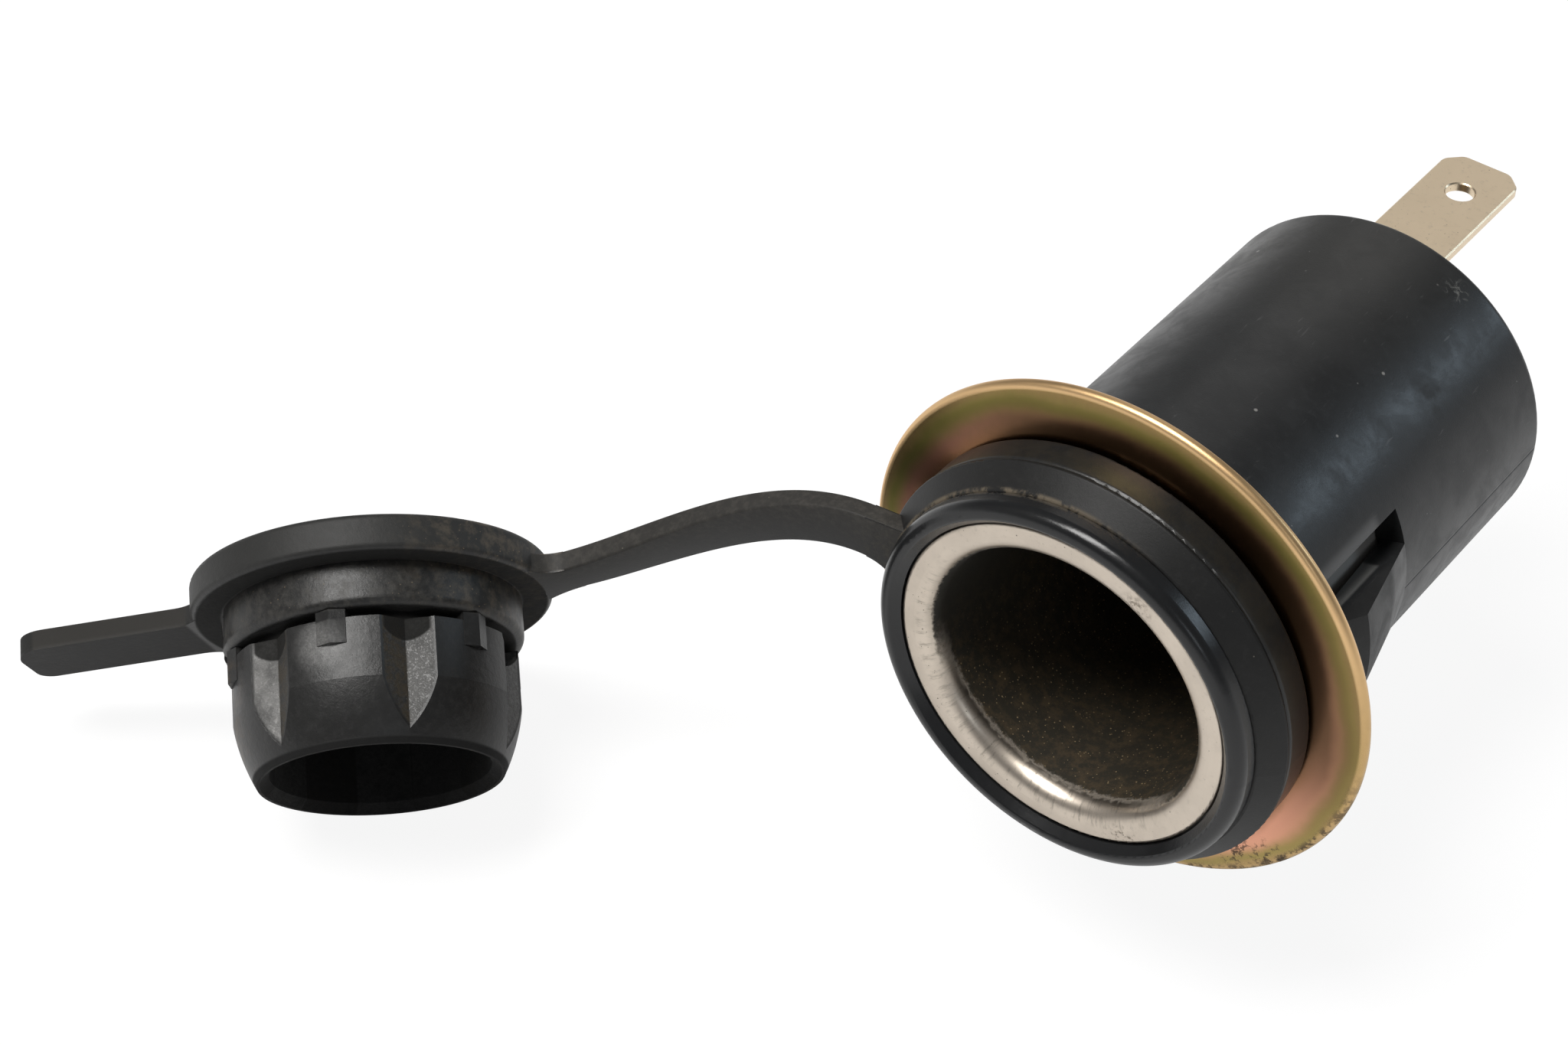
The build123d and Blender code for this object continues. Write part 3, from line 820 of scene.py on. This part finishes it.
class SOCKET_OT_washer(bpy.types.Operator):
    """Finish the dished washer: yellow plate with rose and green bands, rust along its lower rim, painted
    reflections of the dark ring and the bright surroundings, painted shade by the flange and a painted
    highlight on the rim.
    """

    bl_idname = "socket.washer"
    bl_label = "Dress Washer"

    def execute(self, context):
        look = context.scene.socket_finish
        f = Finish("yellow_chromate_plate")

        # Bands of colour, from the flange out to the rim
        radius = f.radius()
        cloud = f.noise(0.12, 3.0, 0.55)
        fine = f.noise(1.2, 4.0, 0.65, shift=5.0)
        band = radius + (cloud - 0.5) * 2.0 + (fine - 0.5) * 0.2
        right = f.toward(115.0).above(0.3, 0.95)
        top = f.toward(32.0).above(-0.2, 0.6)
        colour = band.above(15.8, 17.6).blend(look.brown, look.rose)
        colour = band.above(17.3, 18.8).blend(colour, look.leaf)
        colour = band.above(18.7, 19.7).blend(colour, look.gold)
        colour = (fine.above(0.45, 0.75) * 0.25).blend(colour, scaled(look.gold, 0.6))
        # Painted reflection: a brighter rose on the right, where the plate mirrors the white surroundings
        painted_rose_reflection = right * band.above(15.3, 17.0) * band.above(19.3, 17.8)
        colour = (painted_rose_reflection * 0.8).blend(colour, scaled(look.rose, 1.9))
        # Painted reflection and shade: the plate is darkened at the top, where it mirrors the black ring,
        # and all round next to the flange
        bronze = top * band.above(18.0, 18.9) * radius.above(19.7, 19.4)
        colour = (bronze * 0.6).blend(colour, scaled(look.gold, 0.32))
        olive = top * band.above(19.2, 18.4) * band.above(17.3, 18.4)
        colour = (olive * 0.55).blend(colour, scaled(look.leaf, 0.35))
        shade = (top * band.above(19.1, 17.3)).most(band.above(17.6, 15.8) * 0.6)
        colour = (shade * 0.92).blend(colour, look.painted_plate_shade)
        # Painted highlight: the rim is painted bright, except at the lower right
        painted_rim_highlight = radius.above(19.45, 19.65) * (1.0 - f.toward(118.0).above(0.45, 0.9) * 0.75)
        colour = (painted_rim_highlight * 0.9).blend(colour, look.rim)

        # Rust and scratches
        rust = f.noise(1.5, 5.0, 0.75, shift=11.0).above(0.52, 0.60)
        rust = rust * f.near((11.6, -1.2, -13.6), 0.6, 2.6).most(f.near((14.6, -0.9, -12.9), 0.5, 2.4))
        rim = radius.above(19.2, 19.7) * f.toward(132.0).above(0.75, 0.97)
        rim = rim * f.noise(0.9, 4.0, 0.75, shift=3.0).above(0.46, 0.58)
        scratch = f.near((-15.0, -1.0, 9.7), 0.12, 0.3).most(f.near((-14.8, -1.0, 10.3), 0.1, 0.3))
        colour = (rust * 0.85).blend(colour, RUST_BROWN)
        colour = (rim * 0.75).blend(colour, RIM_RUST)
        colour = (scratch * 0.6).blend(colour, PLATE_SCRATCH)
        rough = 0.18 + cloud * 0.06 + fine * 0.08 + rust.most(rim) * 0.35 + painted_rim_highlight * 0.14
        height = fine * 0.4 * band.above(19.6, 19.0) + rust * 1.5
        metal = 1.0 - rust.most(rim) * 0.7
        plate = f.close(colour, rough, metal, height, lift=0.008, strength=0.5)
        dress("mounting_washer", plate)

        # The outline turned once round the axis
        outline = washer_outline(context.scene.socket_sizes)
        hour = np.linspace(0.0, 2 * np.pi, WASHER_HOURS, endpoint=False)[:, None]
        ways = np.stack([np.sin(hour), np.zeros_like(hour), np.cos(hour)], axis=-1)
        points = ways * outline[None, :, :1] + outline[None, :, 1:] * np.array([0.0, 1.0, 0.0])
        disc = surface_mesh("washer_plate", points * MM, caps=False, loop=True)
        disc.data.materials.append(plate)
        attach(disc, "socket")
        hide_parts("mounting_washer")
        return {"FINISHED"}


def cap_rubber(look):
    """Rubber of the cap: dusty collar, scuffed notches with painted light on the flanks that face the lamp
    and painted shade on the others, a painted highlight on one lobe, painted shade in the pockets, groove,
    hollow and under the disc, lighter disc edge.
    """
    f = Finish("cap_rubber")

    # Patterns, and places in the cap's own frame
    cloud = f.noise(0.2, 4.0, 0.6)
    fine = f.noise(1.8, 4.0, 0.65, shift=6.0)
    grain = f.noise(8.0, 3.0, 0.7, shift=2.0)
    depth = f.along(CAP_FACING, CAP_PLACE)
    out = f.along(CAP_STRAP_WAY, CAP_PLACE)
    across = f.along(CAP_ACROSS, CAP_PLACE)
    radius = f.length(out, across)
    pitch = 2 * np.pi / CAP_LOBES
    turn = out.math("ARCTAN2", across, out) / pitch + 0.5
    aside = (turn.math("FRACT", turn) - 0.5) * pitch * radius
    taper = ((depth - TAPER_START) / TAPER_LENGTH).limit()
    lobe_r = LOBE_R - taper * 1.5 + taper * (1.0 - taper) * 0.8
    notch = (lobe_r - radius).above(0.05, 0.2) * depth.above(6.6, 6.8)
    pocket = f.length(aside, depth - 6.1).above(2.35, 2.15)
    pocket = pocket * radius.above(10.45, 10.3) * depth.above(6.0, 6.2)
    groove = depth.above(6.05, 6.15) * depth.above(6.75, 6.6) * radius.above(10.5, 10.3)
    hollow = (radius.above(8.95, 8.8) * depth.above(3.5, 3.9)).most(depth.above(15.2, 15.45) * 0.9)
    under = depth.above(2.6, 2.74) * depth.above(2.95, 2.8)
    under = under * radius.above(11.0, 11.3) * radius.above(13.2, 12.9)
    edge = depth.above(2.7, 2.4) * radius.above(12.9, 13.2)
    collar = depth.above(2.7, 2.9) * depth.above(6.3, 6.0) * radius.above(10.6, 10.9)
    tab = out.above(-13.2, -13.6)
    strip = tab * across.above(3.0, 3.12)

    # Colour, from the clean rubber up
    colour = (cloud.above(0.3, 0.75) * 0.45).blend(look.rubber, scaled(look.rubber, 1.7))
    colour = (fine.above(0.45, 0.7) * 0.3).blend(colour, scaled(look.rubber, 2.6))
    colour = (edge * 0.45).blend(colour, DISC_EDGE)
    colour = (strip * 0.6).blend(colour, TAB_EDGE)
    scuff = f.noise(3.2, 5.0, 0.8, shift=12.0).above(0.42, 0.62)
    lit_flank = (aside * out).above(0.5, -0.5)
    colour = (notch * (0.15 + scuff * 0.35)).blend(colour, NOTCH_SCUFF)
    # Painted light with scuffs: the notch flanks that face the key lamp are painted pale grey
    pale = out.above(3.0, -3.0).blend(PAINTED_FLANK_LIGHT_NEAR, PAINTED_FLANK_LIGHT_FAR)
    patchy = f.noise(0.55, 4.0, 0.6, shift=25.0).above(0.32, 0.6) * 0.6 + 0.4
    colour = (notch * lit_flank * patchy * (0.6 + scuff * 0.4)).blend(colour, pale)
    # Painted highlight: a pale patch high on one lobe
    spot = CAP_PLACE - 0.8 * CAP_STRAP_WAY + 10.3 * CAP_ACROSS + 8.4 * CAP_FACING
    painted_lobe_highlight = f.near(spot, 0.6, 2.6) * (0.55 + scuff * 0.45)
    painted_lobe_highlight = painted_lobe_highlight * radius.above(10.0, 10.2) * depth.above(6.75, 6.95)
    colour = (painted_lobe_highlight * 0.9).blend(colour, PAINTED_LOBE_HIGHLIGHT)
    # Painted shade with rust: the notch flanks turned from the lamp are darkened brown in patches
    valley = notch * (1.0 - lit_flank) * f.noise(1.4, 4.0, 0.7, shift=5.0).above(0.4, 0.6)
    colour = (valley * 0.7).blend(colour, VALLEY_SHADE_AND_RUST)
    dusty = collar * f.noise(1.1, 5.0, 0.75, shift=3.0).above(0.38, 0.68)
    colour = (dusty * 0.5).blend(colour, COLLAR_DUST)
    root = out.above(3.0, 11.0) * depth.above(6.3, 5.5)
    grit = f.specks(1.9, 0.14, 0.45, 8.0).most(f.specks(3.4, 0.16, 0.30, 4.0)) * root.most(collar * 0.5)
    colour = (root * f.noise(0.8, 4.0, 0.7, shift=8.0).above(0.42, 0.66) * 0.5).blend(colour, look.dust)
    colour = (grit * 0.75).blend(colour, SAND_GRIT)
    stale = out.above(-7.0, -10.0) * depth.above(6.5, 8.0)
    stale = stale * f.noise(0.7, 4.0, 0.7, shift=1.0).above(0.45, 0.65)
    colour = (stale * 0.65).blend(colour, STALE_BROWN)
    colour = (f.specks(0.8, 0.06, 0.10) * 0.6).blend(colour, CAP_SPECK)
    # Painted shade: the pockets under the collar, the groove and the underside of the disc are painted near
    # black, and the hollow and the plug's end face darker still
    dark = pocket.most(groove).most(under * 0.85)
    colour = (dark * 0.9).blend(colour, PAINTED_POCKET_SHADE)
    colour = (hollow * 0.92).blend(colour, PAINTED_HOLLOW_SHADE)

    # Roughness and relief
    rough = 0.24 + cloud * 0.10 + fine * 0.16 + dusty * 0.12 + grit * 0.2
    rough = rough + dark.most(hollow) * 0.6 + tab * 0.35 + edge * 0.20
    height = grain * 0.4 + fine * 1.4 + notch * scuff * 0.8
    return f.close(colour, rough, 0.0, height, lift=0.03, strength=0.7, level=0.38)


def ring_rubber(look):
    """Rubber of the ring and strap: nearly black, lighter along the strap's upper edge, dusty in the
    crevice and at the strap's root.
    """
    f = Finish("ring_rubber")
    cloud = f.noise(0.2, 4.0, 0.6)
    fine = f.noise(1.8, 4.0, 0.65, shift=6.0)
    grain = f.noise(8.0, 3.0, 0.7, shift=2.0)
    radius = f.radius()
    band = radius.above(17.2, 16.9)
    strip = f.start.add("ShaderNodeAttribute", {"attribute_name": "strip"}, None, "Fac")
    strap = scaled(look.rubber, 0.95)
    ring = scaled(look.rubber, 0.55)
    colour = band.blend(strap, ring)
    colour = (cloud.above(0.3, 0.75) * 0.30).blend(colour, scaled(look.rubber, 1.7))
    colour = (fine.above(0.5, 0.75) * 0.20).blend(colour, scaled(look.rubber, 2.2))
    # The strap's upper edge is made lighter
    colour = (strip * (0.35 + fine.above(0.4, 0.7) * 0.4)).blend(colour, STRAP_EDGE)
    crevice = f.y.above(-6.0, -6.2) * radius.above(15.15, 14.95) * f.toward(-45.0).above(0.35, 0.85)
    crevice = crevice * f.noise(0.9, 4.0, 0.7, shift=2.0).above(0.36, 0.56)
    colour = (crevice * 0.7).blend(colour, CREVICE_DUST)
    root = f.near((-15.4, -5.6, 2.4), 1.0, 4.6) * f.noise(1.6, 5.0, 0.75, shift=3.0).above(0.45, 0.65)
    colour = (root * 0.5).blend(colour, ROOT_DUST)
    colour = (f.specks(1.0, 0.07, 0.10) * 0.6).blend(colour, RING_SPECK)
    rough = 0.40 + cloud * 0.08 + fine * 0.10 + strip * 0.1 + crevice.most(root) * 0.25
    height = grain * 0.5 + fine * 0.6
    return f.close(colour, rough, 0.0, height, lift=0.025, strength=0.7, level=0.32)


class SOCKET_OT_rubber(bpy.types.Operator):
    """Finish the rubber ring and cap, and lay the strap's skin across its three bends."""

    bl_idname = "socket.rubber"
    bl_label = "Dress Rubber"

    def execute(self, context):
        look = context.scene.socket_finish
        sizes = context.scene.socket_sizes
        ring = ring_rubber(look)
        dress("strap_ring", ring)
        dress("cap", cap_rubber(look))
        route = StrapRoute(sizes)
        for (joint, bend), low, high in zip(STRAP_BENDS.items(), SKIN_ENDS, SKIN_ENDS[1:]):
            shares = np.linspace(low, high, SKIN_STATIONS)
            centre, _, across, thick = route.frames(shares)
            ring_flare = np.clip(1 - shares / RING_FLARE_SHARE, 0, 1) ** 2
            cap_flare = np.clip(1 - (1 - shares) / CAP_FLARE_SHARE, 0, 1) ** 2
            flare = sizes.strap_ring_flare * ring_flare + sizes.strap_cap_flare * cap_flare
            skin = sizes.strap_skin
            u, v = rounded_bar(
                sizes.strap_width / 2 + flare + skin,
                np.full(len(shares), sizes.strap_thick / 2 + skin),
                sizes.strap_edge,
                look.rounds,
            )
            sideways = u[..., None] * across[:, None, :] + v[..., None] * thick[:, None, :]
            piece = surface_mesh("strap_" + joint, (centre[:, None, :] + sideways) * MM)
            upper = u > sizes.strap_width / 2 - sizes.strap_edge
            strip = piece.data.attributes.new("strip", "FLOAT", "POINT")
            strip.data.foreach_set("value", upper.astype(float).ravel())
            piece.data.materials.append(ring)
            way = Vector(route.frames([bend])[1][0])
            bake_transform(piece)
            if joint == "strap_middle_bend":
                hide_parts("strap_inner", "strap_outer")
        return {"FINISHED"}


class SOCKET_OT_contacts(bpy.types.Operator):
    """Finish the insulators, the centre contact and the positive terminal."""

    bl_idname = "socket.contacts"
    bl_label = "Dress Contacts"

    def execute(self, context):
        f = Finish("brown_laminate")
        cloud = f.noise(0.6, 4.0, 0.6)
        fibre = f.noise(3.0, 3.0, 0.6, place=f.vector(f.x, f.y, f.z * 6.0))
        colour = cloud.above(0.3, 0.7).blend(LAMINATE_DARK, LAMINATE_LIGHT)
        sheet = f.close(colour, 0.45 + fibre * 0.2, 0.0, fibre, lift=0.01, strength=0.5)
        dress("front_insulator", sheet)
        dress("rear_insulator", sheet)
        f = Finish("dull_brass")
        cloud = f.noise(0.7, 4.0, 0.6)
        fine = f.noise(4.0, 3.0, 0.6, shift=3.0)
        colour = cloud.above(0.3, 0.7).blend(BRASS_BRIGHT, BRASS_DULL)
        rough = 0.28 + cloud * 0.18 + fine * 0.08
        brass = f.close(colour, rough, 1.0, fine, lift=0.008, strength=0.5)
        dress("centre_contact", brass)
        dress("positive_terminal", brass)
        return {"FINISHED"}


class SOCKET_OT_stage(bpy.types.Operator):
    """Set the pale floor, the white surroundings, the soft lamps and the camera."""

    bl_idname = "socket.stage"
    bl_label = "Set Stage"

    def execute(self, context):
        look = context.scene.socket_finish
        scene = context.scene
        low = CAD_BOX[0][2] - look.floor_gap * MM
        side = np.linspace(-FLOOR_HALF, FLOOR_HALF, FLOOR_POINTS)
        across, along = np.meshgrid(side, side, indexing="ij")
        grid = np.stack([across, along, np.full_like(across, low)], axis=-1)
        floor = surface_mesh("floor", grid, close_round=False, caps=False)
        f = Finish("floor_white")
        patch = f.noise(0.02, 2.0, 0.5)
        colour = patch.above(0.3, 0.7).blend(FLOOR_DARK, FLOOR_LIGHT)
        diffuse = f.start.add("ShaderNodeBsdfDiffuse", None, {"Color": colour}, "BSDF")
        glow = f.start.add("ShaderNodeEmission", None, {"Color": WHITE, "Strength": 1.2}, "Emission")
        # The floor glows to the camera, and in reflections as far as nothing close shuts out its sky
        seen = f.start.add("ShaderNodeLightPath", out="Is Camera Ray")
        mirrored = Wire(f.tree, seen.socket.node.outputs["Is Glossy Ray"])
        sky = f.start.add("ShaderNodeAmbientOcclusion", {"samples": 8}, {"Distance": 0.045}, "AO")
        share = seen * 0.75 + mirrored * sky * 0.60
        surface = f.start.add("ShaderNodeMixShader", None, {0: share, 1: diffuse, 2: glow})
        f.start.add("ShaderNodeOutputMaterial", None, {"Surface": surface})
        floor.data.materials.append(f.material)

        world = bpy.data.worlds.new("white_room")
        world.use_nodes = True
        world.node_tree.nodes.clear()
        room = Wire(world.node_tree)
        camera_ray = room.add("ShaderNodeLightPath", out="Is Camera Ray")
        fill = room.add("ShaderNodeBackground", None, {"Color": ROOM_WHITE, "Strength": 0.14})
        white = room.add("ShaderNodeBackground", None, {"Color": WHITE, "Strength": 1.0})
        mirror_ray = Wire(room.tree, camera_ray.socket.node.outputs["Is Glossy Ray"])
        way = room.add("ShaderNodeTexCoord", out="Generated")
        level = room.add("ShaderNodeSeparateXYZ", None, {0: way}, "Z")
        # Reflections see a paler room up to a little over the horizon
        horizon = mirror_ray * level.above(0.22, 0.03) * 0.45
        both = room.add("ShaderNodeMixShader", None, {0: camera_ray + horizon, 1: fill, 2: white})
        room.add("ShaderNodeOutputWorld", None, {"Surface": both})
        scene.world = world

        for name, place, size, power, colour in LAMPS:
            data = bpy.data.lights.new(name, "AREA")
            data.shape = "RECTANGLE"
            data.size, data.size_y = size
            data.energy = power * look.light
            data.color = colour
            lamp = bpy.data.objects.new(name, data)
            lamp.location = place
            aim = Vector(LAMP_AIM) - Vector(place)
            lamp.rotation_euler = aim.to_track_quat("-Z", "Y").to_euler()
            scene.collection.objects.link(lamp)

        data = bpy.data.cameras.new("photo_camera")
        data.sensor_width = SENSOR_WIDTH
        data.lens = look.lens
        data.clip_start, data.clip_end = 0.01, 20.0
        camera = bpy.data.objects.new("photo_camera", data)
        camera.location = CAMERA_PLACE
        camera.rotation_mode = "QUATERNION"
        camera.rotation_quaternion = Quaternion(CAMERA_TURN)
        scene.collection.objects.link(camera)
        scene.camera = camera
        scene.view_settings.view_transform = "Standard"
        return {"FINISHED"}


STEPS = (
    SOCKET_OT_plastic,
    SOCKET_OT_well,
    SOCKET_OT_washer,
    SOCKET_OT_rubber,
    SOCKET_OT_contacts,
    SOCKET_OT_stage,
)


class SOCKET_PT_dresser(bpy.types.Panel):
    """Sidebar panel with the steps of the dresser and its sizes."""

    bl_idname = "SOCKET_PT_dresser"
    bl_label = "Power Socket"
    bl_space_type = "VIEW_3D"
    bl_region_type = "UI"
    bl_category = "Socket"

    def draw(self, context):
        for step in STEPS:
            self.layout.operator(step.bl_idname)
        for group in (context.scene.socket_sizes, context.scene.socket_finish):
            for key in group.bl_rna.properties.keys():
                if key not in ("rna_type", "name"):
                    self.layout.prop(group, key)


CLASSES = (SocketSizes, SocketFinish, *STEPS, SOCKET_PT_dresser)


def register():
    for item in CLASSES:
        bpy.utils.register_class(item)
    bpy.types.Scene.socket_sizes = PointerProperty(type=SocketSizes)
    bpy.types.Scene.socket_finish = PointerProperty(type=SocketFinish)


def unregister():
    del bpy.types.Scene.socket_finish
    del bpy.types.Scene.socket_sizes
    for item in reversed(CLASSES):
        bpy.utils.unregister_class(item)


def main():
    register()
    bpy.ops.socket.plastic()
    bpy.ops.socket.well()
    bpy.ops.socket.washer()
    bpy.ops.socket.rubber()
    bpy.ops.socket.contacts()
    bpy.ops.socket.stage()


if __name__ == "__main__":
    main()
